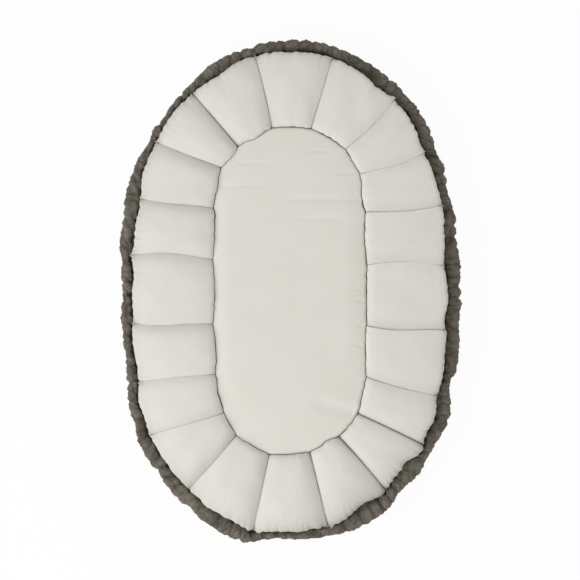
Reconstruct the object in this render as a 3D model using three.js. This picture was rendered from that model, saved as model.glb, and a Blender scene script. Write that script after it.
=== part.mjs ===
// Infant lounger: a low oval nest whose quilted wall of stuffed channels stands round a loose mattress.
// Millimetres, +Z up, head end towards +Y. The origin is the middle of the underside, on the floor.
import * as THREE from "three";

// The nest as a whole, seen from above, border included
const nestWidth = 612;
const nestLength = 900;
const ovalPowerShare = 2.3; // shape of the oval outline: 2 is an ellipse, higher is squarer
const wallHeight = 80; // crest of the stuffed wall above the floor

// The loose mattress
const mattressWidth = 277;
const mattressLength = 589;
const mattressHeight = 54; // at its rim
const mattressCrown = 4; // how much higher its middle is
const mattressRound = 10; // width of the rounded edge of its top
const mattressHeel = 9; // width of the rounded edge of its underside
const mattressClearance = 1.5; // all round, to the foot of the wall

// Gathered border round the outer edge, a casing folded over a flat elastic
const borderWidth = 20;
const borderHeight = 13;
const borderLevel = 48; // middle of the border above the floor
const gatherCount = 50;
const gatherNeckShare = 0.84; // width of the border between two gathers
const elasticWidth = 10;
const elasticThickness = 2;
const elasticSlack = 0.4; // between the elastic and the casing where it is gathered tightest

// Cloth and seams
const liningCloth = 1.2;
const outerCloth = 1.5;
const coverCloth = 1.2;
const seamGap = 0.5; // between two cloths that are sewn together
const borderSeam = 0.6; // between the channels and the border
const footSeam = 0.8; // between the floor of the nest and the foot of the wall
const stuffingGap = 0.6; // between stuffing and cloth
const layerGap = 0.5; // between the layers that lie on each other

// Quilting seams of one quarter of the wall, from the middle of the head or foot end to the middle of the
// side: where each starts at the mattress and ends at the border, as shares of that quarter of the outline
const seamStartShares = [0.0965, 0.277, 0.411, 0.606, 0.851];
const seamEndShares = [0.118, 0.349, 0.554, 0.722, 0.902];

// Section of a channel, from seam to seam and from mattress to border
const acrossShares = [0, 0.04, 0.16, 0.38, 0.62, 0.84, 0.96, 1];
const outwardShares = [0, 0.04, 0.25, 0.7, 0.95, 1];
const baseSeamRow = 2; // row where the flat base ends and the outer wall begins
const fullnessShare = 1.06; // above 1, the crest of a channel is flattened
const flankPowerShare = 0.2; // how steeply a channel rises beside its seams: 0.5 is round, lower is steeper
const climbPowerShare = 1.2; // how the seams climb from the base to the border: 1 is straight
const bellyShare = 1.15; // how far the outer wall sags below its seams, 1 being just down to the floor

// Steps of the mattress outline
const endSteps = 12;
const roundSteps = 3;

const liningMaterial = new THREE.MeshStandardMaterial({ color: 0xdcd9d1, roughness: 0.9, metalness: 0 });
const outerMaterial = new THREE.MeshStandardMaterial({ color: 0x5a544b, roughness: 0.9, metalness: 0 });
const stuffingMaterial = new THREE.MeshStandardMaterial({ color: 0xf2f1ee, roughness: 1, metalness: 0 });
const foamMaterial = new THREE.MeshStandardMaterial({ color: 0xece6d4, roughness: 0.95, metalness: 0 });
const elasticMaterial = new THREE.MeshStandardMaterial({ color: 0xe6e4de, roughness: 0.8, metalness: 0 });

const { clamp, euclideanModulo, lerp } = THREE.MathUtils;

// Oval outline, clockwise from the head end when seen from above.
class Oval extends THREE.Curve {
  constructor(width, length) {
    super();
    this.halfWidth = width / 2;
    this.halfLength = length / 2;
    this.arcLengthDivisions = 800;
  }
  getPoint(share, target = new THREE.Vector3()) {
    const sideways = Math.sin(2 * Math.PI * share);
    const lengthways = Math.cos(2 * Math.PI * share);
    const sum =
      Math.abs(sideways / this.halfWidth) ** ovalPowerShare +
      Math.abs(lengthways / this.halfLength) ** ovalPowerShare;
    const reach = sum ** (-1 / ovalPowerShare);
    return target.set(reach * sideways, reach * lengthways, 0);
  }
}

// Outline with straight sides and half-round ends, clockwise from the head end.
function stadium(width, length) {
  const radius = width / 2;
  const straight = length / 2 - radius;
  const outline = new THREE.Path();
  outline.moveTo(0, straight + radius);
  outline.absarc(0, straight, radius, Math.PI / 2, 0, true);
  outline.lineTo(radius, -straight);
  outline.absarc(0, -straight, radius, 0, -Math.PI, true);
  outline.lineTo(-radius, straight);
  outline.absarc(0, straight, radius, Math.PI, Math.PI / 2, true);
  return outline;
}

const pointAt = (line, share) => line.getPointAt(euclideanModulo(share, 1));

// Closed bodies

function bodyFrom(points, triangles) {
  const geometry = new THREE.BufferGeometry().setFromPoints(points);
  geometry.setIndex(triangles);
  geometry.computeVertexNormals();
  return geometry;
}

// Two facets between four points that run anticlockwise as seen from outside.
const quad = (a, b, c, d) => [a, b, c, a, c, d];

// Body between two grids of points, [across][outward], one above the other, that begin at a column and a row
// of the section. A closed grid goes round the whole nest. Facets are split towards the middle of a channel.
function bodyBetween(upper, lower, { firstColumn = 0, firstRow = 0, closed = false } = {}) {
  const columns = upper.length;
  const rows = upper[0].length;
  const columnSpans = acrossShares.length - 1;
  const rowSpans = outwardShares.length - 1;
  const top = (i, j) => (i % columns) * rows + j;
  const bottom = (i, j) => columns * rows + top(i, j);
  const triangles = [];
  for (let i = 0; i < (closed ? columns : columns - 1); i++) {
    for (let j = 0; j + 1 < rows; j++) {
      const corners = [
        [i, j],
        [i + 1, j],
        [i + 1, j + 1],
        [i, j + 1],
      ];
      const leftHalf = (firstColumn + i) % columnSpans < columnSpans / 2;
      const innerHalf = firstRow + j < rowSpans / 2;
      if (leftHalf !== innerHalf) corners.push(corners.shift());
      triangles.push(...quad(...corners.map(([a, b]) => top(a, b))));
      const [first, ...others] = corners.map(([a, b]) => bottom(a, b));
      triangles.push(...quad(first, ...others.toReversed()));
    }
  }
  const edge = (from, to) => {
    triangles.push(...quad(top(...from), bottom(...from), bottom(...to), top(...to)));
  };
  for (let i = 0; i < (closed ? columns : columns - 1); i++) {
    edge([i, 0], [i + 1, 0]);
    edge([i + 1, rows - 1], [i, rows - 1]);
  }
  for (let j = 0; j + 1 < rows && !closed; j++) {
    edge([columns - 1, j], [columns - 1, j + 1]);
    edge([0, j + 1], [0, j]);
  }
  return bodyFrom([...upper.flat(), ...lower.flat()], triangles);
}

// Ring through sections that follow each other clockwise round the nest. Each section is a closed outline
// that runs anticlockwise when outward is to the right and up is up.
function ringThrough(sections) {
  const size = sections[0].length;
  const triangles = [];
  sections.forEach((section, k) => {
    const next = (k + 1) % sections.length;
    section.forEach((point, m) => {
      const after = (m + 1) % size;
      triangles.push(...quad(k * size + m, k * size + after, next * size + after, next * size + m));
    });
  });
  return bodyFrom(sections.flat(), triangles);
}

// Body through outlines that run clockwise, from the middle of its top to the middle of its underside.
function stack(topPoint, outlines, bottomPoint) {
  const size = outlines[0].length;
  const points = [...outlines.flat(), topPoint, bottomPoint];
  const last = (outlines.length - 1) * size;
  const triangles = [];
  for (let m = 0; m < size; m++) {
    const after = (m + 1) % size;
    triangles.push(points.length - 2, after, m);
    for (let k = 0; k < last; k += size) {
      triangles.push(...quad(k + m, k + after, k + size + after, k + size + m));
    }
    triangles.push(points.length - 1, last + m, last + after);
  }
  return bodyFrom(points, triangles);
}

// Moves a grid of points, [across][outward], square to its surface, upwards where the distance is positive.
// A grid that closes round the nest takes its first column as the neighbour of its last.
function moveSquare(grid, distance, closed = false) {
  const direction = (before, here, after) => {
    const way = new THREE.Vector3();
    if (before) way.add(here.clone().sub(before).normalize());
    if (after) way.add(after.clone().sub(here).normalize());
    return way;
  };
  return grid.map((column, i) => {
    const before = grid[i - 1] ?? (closed ? grid.at(-1) : undefined);
    const after = grid[i + 1] ?? (closed ? grid[0] : undefined);
    return column.map((point, j) => {
      const acrossWay = direction(before?.[j], point, after?.[j]);
      const outwardWay = direction(column[j - 1], point, column[j + 1]);
      const square = acrossWay.cross(outwardWay).normalize();
      return point.clone().addScaledVector(square, distance);
    });
  });
}

// The wall of channels

const wallFoot = stadium(mattressWidth + 2 * mattressClearance, mattressLength + 2 * mattressClearance);
const borderInset = borderWidth + borderSeam + outerCloth;
const wallEdge = new Oval(nestWidth - 2 * borderInset, nestLength - 2 * borderInset);

// Shares of a whole outline for the seams of all four quarters.
function roundTheNest(quarterShares) {
  const backwards = quarterShares.toReversed();
  return [
    ...quarterShares.map((share) => share / 4),
    ...backwards.map((share) => (2 - share) / 4),
    ...quarterShares.map((share) => (2 + share) / 4),
    ...backwards.map((share) => (4 - share) / 4),
  ];
}

// The channels clockwise, the first one across the middle of the head end, each between two seams.
const footShares = roundTheNest(seamStartShares);
const edgeShares = roundTheNest(seamEndShares);
const channels = footShares.map((share, k) => ({
  foot: [k ? footShares[k - 1] : footShares.at(-1) - 1, share],
  edge: [k ? edgeShares[k - 1] : edgeShares.at(-1) - 1, edgeShares[k]],
}));

// Place in a channel seen from above, drawn in from both its seams by an inset.
function planPoint(channel, across, outward, inset = 0) {
  const place = (share) => {
    const foot = pointAt(wallFoot, lerp(...channel.foot, share));
    const edge = pointAt(wallEdge, lerp(...channel.edge, share));
    return new THREE.Vector3(lerp(foot.x, edge.x, outward), lerp(foot.y, edge.y, outward), 0);
  };
  const inward = place(1).sub(place(0)).setLength(inset);
  return place(across).addScaledVector(inward, 1 - 2 * across);
}

// Nothing at a seam and all at the middle of a channel, steep beside the seam.
const puff = (share) => Math.min(1, fullnessShare * (1 - (2 * share - 1) ** 2) ** flankPowerShare);

const baseSeamShare = outwardShares[baseSeamRow];
const climb = (outward) =>
  (borderLevel - outerCloth) *
  Math.max(0, (outward - baseSeamShare) / (1 - baseSeamShare)) ** climbPowerShare;

// Level of the lining where it is sewn down.
const seamLevel = (outward) => outerCloth + climb(outward) + seamGap;

// Upper faces of the outer wall and of the lining, which meet along the seams of each channel.
function outerPoint(channel, across, outward, inset = 0) {
  const sag = Math.min(1, bellyShare * puff(across) * puff(outward));
  return planPoint(channel, across, outward, inset).setZ(outerCloth + climb(outward) * (1 - sag));
}

function liningPoint(channel, across, outward) {
  const level = lerp(seamLevel(outward), wallHeight, puff(across) * puff(outward));
  return planPoint(channel, across, outward, seamGap / 2).setZ(level);
}

const gridOf = (pointOf, channel, inset) =>
  acrossShares.map((across) => outwardShares.map((outward) => pointOf(channel, across, outward, inset)));

// Under face of a lining panel, nowhere below the seams that the panel ends on, and drawn in beside them.
function liningInside(channel) {
  const reach = planPoint(channel, 0, 0).distanceTo(planPoint(channel, 0, 1));
  const rimShare = liningCloth / reach;
  const under = moveSquare(gridOf(liningPoint, channel), -liningCloth);
  return under.map((column, i) =>
    column.map((point, j) => {
      const across = acrossShares[i];
      const outward = outwardShares[j];
      if (across > 0 && across < 1) return point.setZ(Math.max(point.z, seamLevel(outward)));
      const drawnOutward = clamp(outward, rimShare, 1 - rimShare);
      const drawn = planPoint(channel, across, drawnOutward, seamGap / 2 + liningCloth);
      return drawn.setZ(seamLevel(outward));
    }),
  );
}

const liningPanel = (channel) => bodyBetween(gridOf(liningPoint, channel), liningInside(channel));

// Stuffing between lining and outer wall, ending at the first column and row from each seam.
function stuffing(channel) {
  const inner = (grid) => grid.slice(1, -1).map((column) => column.slice(1, -1));
  const above = moveSquare(liningInside(channel), -stuffingGap);
  const below = moveSquare(gridOf(outerPoint, channel, liningCloth + stuffingGap), stuffingGap);
  return bodyBetween(inner(above), inner(below), { firstColumn: 1, firstRow: 1 });
}

// The outer wall in one piece, from the base seam up to the border, hollowed at each quilting seam.
function outerWall() {
  const inside = channels.flatMap((channel) =>
    acrossShares
      .slice(0, -1)
      .map((across) => outwardShares.slice(baseSeamRow).map((out) => outerPoint(channel, across, out))),
  );
  const outside = moveSquare(inside, -outerCloth, true);
  return bodyBetween(inside, outside, { firstRow: baseSeamRow, closed: true });
}

// The flat base under the mattress and under the foot of the wall.
function basePanel() {
  const outline = (level) =>
    channels.flatMap((channel) =>
      acrossShares.slice(0, -1).map((across) => {
        const point = planPoint(channel, across, baseSeamShare);
        const inward = planPoint(channel, across, 0).sub(point).setLength(seamGap);
        return point.add(inward).setZ(level);
      }),
    );
  const top = new THREE.Vector3(0, 0, outerCloth);
  return stack(top, [outline(outerCloth), outline(0)], new THREE.Vector3());
}

// The border

const borderLine = new Oval(nestWidth - 2 * borderWidth, nestLength - 2 * borderWidth);
const borderSections = 2 * gatherCount;

// Place on the inner edge of the border, with the level way outwards from there.
function borderPlace(k) {
  const share = k / borderSections;
  const along = borderLine.getTangentAt(share);
  return { at: borderLine.getPointAt(share), out: new THREE.Vector3(-along.y, along.x, 0) };
}

const borderPoint = ({ at, out }, outward, level) => at.clone().addScaledVector(out, outward).setZ(level);

// Casing section as shares of half its width and height: the folded outside, open towards the channels,
// and the tunnel in it.
const casingOutsideShares = [
  [-1, -0.14],
  [-0.7, -0.94],
  [0.62, -0.96],
  [1, 0],
  [0.62, 0.96],
  [-0.7, 0.94],
  [-1, 0.14],
];
const tunnelInnerShare = -0.72;
const tunnelOuterShare = 0.64;
const tunnelLevelShare = 0.62;
const tunnelShares = [
  [tunnelInnerShare, tunnelLevelShare],
  [tunnelOuterShare, tunnelLevelShare],
  [tunnelOuterShare, -tunnelLevelShare],
  [tunnelInnerShare, -tunnelLevelShare],
];

function edgeCasing() {
  const sections = [];
  for (let k = 0; k < borderSections; k++) {
    const place = borderPlace(k);
    const gatherShare = k % 2 ? gatherNeckShare : 1;
    const halfWidth = (borderWidth * gatherShare) / 2;
    const halfHeight = (borderHeight * gatherShare) / 2;
    sections.push(
      [...casingOutsideShares, ...tunnelShares].map(([across, up]) =>
        borderPoint(place, halfWidth * (1 + across), borderLevel + halfHeight * up),
      ),
    );
  }
  return ringThrough(sections);
}

// The elastic lies on the floor of the tunnel, against the cloth nearest the channels.
function edgeElastic() {
  const near = (borderWidth / 2) * (1 + tunnelInnerShare) + elasticSlack;
  const far = near + elasticWidth;
  const low = borderLevel - (borderHeight / 2) * gatherNeckShare * tunnelLevelShare + elasticSlack;
  const high = low + elasticThickness;
  const corners = [
    [near, low],
    [far, low],
    [far, high],
    [near, high],
  ];
  const sections = [];
  for (let k = 0; k < borderSections; k++) {
    const place = borderPlace(k);
    sections.push(corners.map(([outward, level]) => borderPoint(place, outward, level)));
  }
  return ringThrough(sections);
}

// The mattress and the floor that it lies on

// Outline of the mattress drawn in by an inset, at a level, clockwise from its left side.
function mattressOutline(inset, level) {
  const radius = mattressWidth / 2 - inset;
  const straight = (mattressLength - mattressWidth) / 2;
  const points = [];
  for (const end of [1, -1]) {
    for (let k = 0; k <= endSteps; k++) {
      const angle = Math.PI * (k / endSteps - 0.5);
      const sideways = end * radius * Math.sin(angle);
      points.push(new THREE.Vector3(sideways, end * (straight + radius * Math.cos(angle)), level));
    }
  }
  return points;
}

const floorTop = outerCloth + layerGap + liningCloth;
const mattressBottom = floorTop + layerGap;
const mattressSeam = mattressBottom + mattressHeight / 2;

function floorLining() {
  const inset = footSeam - mattressClearance;
  const low = floorTop - liningCloth;
  return stack(
    new THREE.Vector3(0, 0, floorTop),
    [mattressOutline(inset, floorTop), mattressOutline(inset, low)],
    new THREE.Vector3(0, 0, low),
  );
}

// Outlines of the mattress from its middle down to its seam, at a depth under the outside of its cover.
function mattressTop(depth, seamLevel) {
  const rise = mattressBottom + mattressHeight - depth - seamLevel;
  const crownLevel = seamLevel + rise + mattressCrown;
  const crownInset = mattressRound + (mattressWidth / 2 - mattressRound) / 2;
  const outlines = [mattressOutline(crownInset, crownLevel)];
  for (let k = roundSteps; k >= 0; k--) {
    const angle = (Math.PI / 2) * (k / roundSteps);
    const inset = depth + (mattressRound - depth) * (1 - Math.cos(angle));
    outlines.push(mattressOutline(inset, seamLevel + rise * Math.sin(angle)));
  }
  return { pole: new THREE.Vector3(0, 0, crownLevel), outlines };
}

// Outlines of the mattress from its seam down to the edge of its flat underside.
function mattressUnderside(depth, seamLevel) {
  const drop = seamLevel - mattressBottom - depth;
  const outlines = [];
  for (let k = 0; k < roundSteps; k++) {
    const angle = (Math.PI / 2) * (k / (roundSteps - 1));
    const inset = depth + (mattressHeel - depth) * (1 - Math.cos(angle));
    outlines.push(mattressOutline(inset, seamLevel - drop * Math.sin(angle)));
  }
  return { pole: new THREE.Vector3(0, 0, mattressBottom + depth), outlines };
}

function mattressCoverTop() {
  const outside = mattressTop(0, mattressSeam + seamGap / 2);
  const inside = mattressTop(coverCloth, mattressSeam + seamGap / 2);
  const outlines = [...outside.outlines, ...inside.outlines.toReversed()];
  return stack(outside.pole, outlines, inside.pole);
}

function mattressCoverBottom() {
  const outside = mattressUnderside(0, mattressSeam - seamGap / 2);
  const inside = mattressUnderside(coverCloth, mattressSeam - seamGap / 2);
  const outlines = [...inside.outlines.toReversed(), ...outside.outlines];
  return stack(inside.pole, outlines, outside.pole);
}

function mattressCore() {
  const depth = coverCloth + layerGap;
  const above = mattressTop(depth, mattressSeam);
  const below = mattressUnderside(depth, mattressSeam);
  return stack(above.pole, [...above.outlines, ...below.outlines.slice(1)], below.pole);
}

// Assembly

function named(name, geometry, material) {
  const mesh = new THREE.Mesh(geometry, material);
  mesh.name = name;
  return mesh;
}

const nest = new THREE.Group();
channels.forEach((channel, k) => {
  const number = String(k + 1).padStart(2, "0");
  nest.add(named(`lining_panel_${number}`, liningPanel(channel), liningMaterial));
  nest.add(named(`stuffing_${number}`, stuffing(channel), stuffingMaterial));
});
nest.add(named("outer_wall", outerWall(), outerMaterial));
nest.add(named("base_panel", basePanel(), outerMaterial));
nest.add(named("floor_lining", floorLining(), liningMaterial));
nest.add(named("edge_casing", edgeCasing(), outerMaterial));
nest.add(named("edge_elastic", edgeElastic(), elasticMaterial));

const mattress = new THREE.Group();
mattress.add(named("mattress_cover_top", mattressCoverTop(), liningMaterial));
mattress.add(named("mattress_cover_bottom", mattressCoverBottom(), liningMaterial));
mattress.add(named("mattress_core", mattressCore(), foamMaterial));

const lounger = new THREE.Group();
lounger.add(nest, mattress);

export default lounger;
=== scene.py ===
"""Infant lounger: an oval nest of quilted channels, a gathered dark border and a loose mattress.

Metres, +Z up, head end towards +Y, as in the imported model.
"""

import math
from collections import namedtuple

import bpy
import numpy as np
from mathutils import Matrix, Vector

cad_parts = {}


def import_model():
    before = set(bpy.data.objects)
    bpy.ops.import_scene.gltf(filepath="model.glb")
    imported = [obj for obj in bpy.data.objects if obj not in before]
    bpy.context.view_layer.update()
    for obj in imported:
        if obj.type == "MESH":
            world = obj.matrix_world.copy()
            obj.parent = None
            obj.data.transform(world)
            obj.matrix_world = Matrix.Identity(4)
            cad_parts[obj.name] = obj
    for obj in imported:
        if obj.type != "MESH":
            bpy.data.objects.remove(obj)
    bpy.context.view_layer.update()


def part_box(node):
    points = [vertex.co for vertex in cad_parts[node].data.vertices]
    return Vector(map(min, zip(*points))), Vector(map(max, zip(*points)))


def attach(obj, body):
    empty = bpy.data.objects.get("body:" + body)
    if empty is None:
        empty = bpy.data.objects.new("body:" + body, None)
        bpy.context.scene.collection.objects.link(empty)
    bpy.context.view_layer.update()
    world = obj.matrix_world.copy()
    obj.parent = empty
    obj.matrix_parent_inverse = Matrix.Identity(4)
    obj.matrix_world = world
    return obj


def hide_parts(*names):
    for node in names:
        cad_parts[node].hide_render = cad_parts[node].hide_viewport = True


MM = 0.001

# Frame

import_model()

casing_low, casing_high = (np.array(c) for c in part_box("edge_casing"))
floor_low, floor_high = (np.array(c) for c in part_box("floor_lining"))
cover_low, cover_high = (np.array(c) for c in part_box("mattress_cover_top"))
under_low, under_high = (np.array(c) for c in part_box("mattress_cover_bottom"))
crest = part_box("lining_panel_06")[1][2]
strip_low, strip_high = (np.array(c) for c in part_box("edge_elastic"))

nest_width, nest_length = (casing_high - casing_low)[:2]
border_level = (casing_high[2] + casing_low[2]) / 2
mattress_width, mattress_length = (cover_high - cover_low)[:2]
mattress_bottom = under_low[2]
mattress_seam = (cover_low[2] + under_high[2]) / 2
mattress_top = cover_high[2]

# Sizes

# How square the nest's oval is: 2 is an ellipse
OVAL_POWER = 2.3
# Room between the mattress and the wall's foot in the CAD
FOOT_CLEARANCE = 1.5 * MM
OUTER_CLOTH = 1.2 * MM

# A seam of the wall: shares of the foot outline and of the border outline, widths of its groove at the foot
# and at the border, how far the channels before and after it fall towards it, how much shade is painted
# on them beside it, and how far it bows and waves clockwise. Lengths are in millimetres.
Seam = namedtuple(
    "Seam", "foot edge foot_groove edge_groove fall_before fall_after dark_before dark_after bow wave"
)
# Clockwise from the head end. Channel k lies between seams k - 1 and k.
SEAMS = list(map(Seam._make, [
    (0.026, 0.034, 1.8, 1.0, 9, 9, 0.05, 0.05, 0, 0),
    (0.075, 0.096, 0.8, 0.1, 3.2, 3.2, 0.14, 0.14, 4, 0),
    (0.110, 0.144, 0.6, 0.1, 2.8, 2.8, 0.12, 0.12, 6, -1),
    (0.157, 0.187, 0.9, 0.1, 4.5, 3, 0.16, 0, 3, 0),
    (0.220, 0.232, 0.6, 0.1, 4.5, 3, 0.15, 0, -4.5, 0),
    (0.293, 0.280, 0.6, 0.1, 5.5, 3, 0.22, 0, 4.5, 1.5),
    (0.354, 0.330, 2.0, 0.3, 8, 7, 0.17, 0, 2.5, 0),
    (0.400, 0.369, 4.2, 3.6, 11, 9, 0.1, 0.05, -1.5, 0),
    (0.436, 0.4147, 5.0, 4.6, 11, 12, 0, 0.15, -2, 0),
    (0.476, 0.470, 3.4, 2.8, 9, 11, 0, 0.25, 0, 0),
    (0.524, 0.528, 1.6, 0.7, 8, 10, 0, 0.27, 0, 0),
    (0.569, 0.5888, 1.0, 0.1, 3, 8, 0, 0.32, 0, 0),
    (0.600, 0.640, 0.5, 0.1, 4, 5, 0, 0.14, 0, 0),
    (0.650, 0.681, 0.5, 0.1, 5, 3, 0.15, 0, 2, 0),
    (0.710, 0.726, 0.5, 0.1, 7, 2.5, 0.23, 0, -4, 2),
    (0.787, 0.776, 0.5, 0.1, 7, 2.5, 0.27, 0, 6, -0.5),
    (0.848, 0.819, 0.6, 0.6, 7, 2.5, 0.27, 0, -2, 1.5),
    (0.898, 0.864, 2.2, 0.2, 10, 7, 0.27, 0, 0, 0),
    (0.931, 0.912, 4.0, 3.0, 12, 10, 0.12, 0, 0, 0),
    (0.978, 0.9722, 2.2, 2.0, 11, 11, 0, 0.08, 1.5, 0),
]))
CHANNELS = len(SEAMS)


class Outline:
    """A closed line in plan, clockwise from the head end, read by share of its length."""

    STEP = 1e-3

    def __init__(self, points):
        self.points = np.vstack([points, points[:1]])
        reach = np.concatenate([[0], np.cumsum(np.hypot(*np.diff(self.points, axis=0).T))])
        self.length = reach[-1]
        self.shares = reach / self.length
        self.angles = np.degrees(np.unwrap(np.arctan2(self.points[:, 0], self.points[:, 1])))

    def at(self, share):
        share = np.mod(share, 1)
        return np.stack([np.interp(share, self.shares, self.points[:, a]) for a in (0, 1)], -1)

    def share_of(self, angle):
        """Share at which the line passes an angle in degrees, clockwise from the head end."""
        return np.interp(angle, self.angles, self.shares)

    def out(self, share):
        """Direction out of the line."""
        along = self.at(share + self.STEP) - self.at(share - self.STEP)
        along /= np.linalg.norm(along, axis=-1, keepdims=True)
        return np.stack([-along[..., 1], along[..., 0]], -1)

    def off(self, share, away):
        """Places that stand off the line."""
        return self.at(share) + self.out(share) * away[..., None]


def oval(width, length, steps=4000):
    angle = 2 * np.pi * np.arange(steps) / steps
    across, along = np.sin(angle), np.cos(angle)
    power = np.abs(2 * across / width) ** OVAL_POWER + np.abs(2 * along / length) ** OVAL_POWER
    reach = power ** (-1 / OVAL_POWER)
    return Outline(np.stack([reach * across, reach * along], -1))


def stadium(width, length, steps=1000):
    radius, straight = width / 2, (length - width) / 2
    turn = np.linspace(0, np.pi, steps)
    head = np.stack([-radius * np.cos(turn), straight + radius * np.sin(turn)], -1)
    line = Outline(np.vstack([head, -head]))
    start = np.interp(0, head[:, 0], np.arange(steps)).astype(int)
    return Outline(np.roll(line.points[:-1], -start, axis=0))


class Ripples:
    """Smooth seeded waves over (share round the nest, share across), closed round the nest."""

    def __init__(self, seed, round_counts, across_counts=(0, 0), terms=14, whole=False):
        rng = np.random.default_rng(seed)
        self.round = rng.integers(round_counts[0], round_counts[1] + 1, terms)
        self.across = rng.uniform(*across_counts, terms) * rng.choice([-1, 1], terms)
        if whole:
            self.across = np.round(self.across)
        self.phase = rng.uniform(0, 1, terms)

    def __call__(self, share, across=0.0):
        total = 0
        for n, m, phase in zip(self.round, self.across, self.phase):
            total = total + np.sin(2 * np.pi * (n * share + m * across + phase))
        return total / math.sqrt(len(self.round))


def bell(away, reach):
    """Soft bump of height 1 that fades over a reach."""
    return np.exp(-((away / reach) ** 2))


def soft_steps(share, places):
    """Sum of soft bumps along a closed line, each (middle share, half spread, amount)."""
    total = 0
    for middle, spread, amount in places:
        away = np.mod(share - middle + 0.5, 1) - 0.5
        total = total + amount * bell(away, spread)
    return total


def bumps(share, places):
    """Sum of soft bumps round the nest, each (middle angle, half spread in degrees, amount)."""
    turned = [(outer_oval.share_of(middle), spread / 360, amount) for middle, spread, amount in places]
    return soft_steps(share, turned)


def millimetres(places):
    """Places whose amount is given in millimetres."""
    return [(middle, spread, amount * MM) for middle, spread, amount in places]


# Outlines

outer_oval = oval(nest_width, nest_length)
foot_line = stadium(mattress_width + 2 * FOOT_CLEARANCE, mattress_length + 2 * FOOT_CLEARANCE)

# The next tables give bumps round the nest: middle angle, clockwise from the head end, half spread in
# degrees, and amount.

# How far the border's outer edge strays out from the oval
STRAY = millimetres([
    (20, 30, -3), (25, 3, -3.5), (55, 3, -1.5), (56, 12, -3), (70, 3, -3.5), (110, 3, 3.5),
    (115, 3, 4.5), (120, 4, -6), (125, 3, 3.5), (130, 8, 7), (135, 3, 3), (145, 3, 5), (151, 4, -5),
    (160, 9, 4), (180, 5, -7), (185, 3, -4), (190, 3, 4), (195, 4, 4), (205, 4, -4), (205, 2, -2.5),
    (206, 28, 11), (210, 3, -3), (215, 3, -4.5), (220, 3, 4.5), (225, 3, 4.5), (232, 6, 4),
    (240, 3, -3), (250, 6, -4), (257, 4, 3), (270, 13, -5), (275, 3, 3), (285, 3, 6), (300, 9, 4),
    (310, 3, 2.5), (315, 3, -3), (331, 17, -12), (350, 3, -5),
])
# How much further in the lining's outer edge lies
BAND = millimetres([
    (22, 9, 6), (30, 3, 2.5), (45, 4, 4.5), (55, 3, -1), (66, 12, -2), (80, 6, 8), (95, 3, -4),
    (100, 6, 8), (105, 3, -5), (110, 4, 4), (115, 3, 2.5), (120, 4, -6), (125, 3, 8), (128, 5, 1),
    (135, 3, 5), (140, 3, -7), (145, 3, 13), (149, 4, 3), (155, 3, -3), (160, 6, 14), (174, 3, 4),
    (179, 8, -8), (187, 4, -4), (190, 3, 3), (196, 6, 9), (211, 14, 5), (215, 3, -4), (220, 3, 3),
    (235, 3, -3), (245, 3, 3.5), (250, 9, -6), (260, 4, 3), (270, 7, -5), (275, 3, 6), (280, 3, -3),
    (285, 3, 6), (300, 5, 8), (305, 3, -4), (315, 3, -4), (325, 12, -9), (341, 5, 5), (350, 3, -4.5),
])
# How much wider the gap between border and lining is
GAP = millimetres([
    (4, 8, 1.8), (20, 8, 1.4), (38, 8, 2.6), (62, 10, -1), (88, 12, 1), (114, 8, 2.2), (135, 6, 2),
    (160, 7, 2), (200, 8, 1.2), (232, 11, 3), (255, 7, 3.8), (271, 8, 3.4), (293, 10, 4.4),
])
# How strongly the lining's outer edge is gathered
GATHER = millimetres([
    (38, 12, 0.6), (140, 14, 0.8), (183, 18, 1.9), (225, 14, 0.7), (285, 10, 0.6), (355, 32, 0.7),
])
# Small tucks of the lining that lie over the gap beside a seam, and the notches between them
TUCKS = millimetres([
    (29.6, 1.2, 4.5), (45.8, 0.8, 3), (146.5, 0.8, 3), (168.1, 0.8, 3), (169.0, 0.4, -3),
    (170.0, 0.9, 3), (187.4, 1.0, 3), (188.5, 0.5, -3), (190.3, 1.0, 3), (282.2, 0.8, 3.5),
    (299.7, 1.2, 4.5),
])
# How far the lining's outer edge rolls under, from 0 to 1
ROLL = [(158, 30, 1)]
# How much more or less shade is painted on the lining's edge, where it rolls under
EDGE_SHADE = [(50, 34, -0.25), (165, 22, 0.4), (210, 6, 0.2), (315, 16, 0.1)]
STRAY_WAVE = 1.2 * MM
EDGE_INSET, GAP_WIDTH = 21.4 * MM, 1.4 * MM
# The part of a wider gap that is taken from the lining
GAP_SHARE = 0.4
LUMPS, FRAY = 1.3 * MM, 0.7 * MM
stray_ripple = Ripples(11, (8, 40))
lump_ripple = Ripples(12, (55, 75))
fray_ripple = Ripples(13, (70, 190), terms=24)


def outer_edge(share):
    """How far the border's outer edge stands off the oval."""
    return bumps(share, STRAY) + STRAY_WAVE * stray_ripple(share)


def edge_inset(share):
    """How far the lining's outer edge lies in from the border's outer edge."""
    return EDGE_INSET + bumps(share, BAND) + GAP_SHARE * bumps(share, GAP)


def band_width(share):
    return edge_inset(share) - GAP_WIDTH - bumps(share, GAP) + LUMPS * lump_ripple(share)


def edge_place(share):
    """Plan of the lining's outer edge."""
    inset = edge_inset(share) - bumps(share, STRAY) - bumps(share, TUCKS) + FRAY * fray_ripple(share)
    return outer_oval.off(share, -inset)


# Wall of channels

# Places in a channel are shares across it, from seam to seam, and outward, from mattress to border.
WALL_CREST = crest + 1.5 * MM
# Drop of the crown towards foot and edge, how much less to the right, and how much more where it rolls
FOOT_DROP, EDGE_DROP, SIDE_DROP, ROLL_DROP = 6.8 * MM, 6 * MM, 2 * MM, 4 * MM
BEFORE_POWER, AFTER_POWER, FOOT_POWER = 3, 2.2, 3
FULLER, CROWN_WAVE = 0.2, 0.6 * MM
# Rounding at foot and edge, how much more where it rolls, and the part that a neat foot loses
FOOT_CORNER, EDGE_CORNER, ROLL_CORNER, NEAT_CORNER = 9 * MM, 6 * MM, 4 * MM, 0.6
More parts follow.
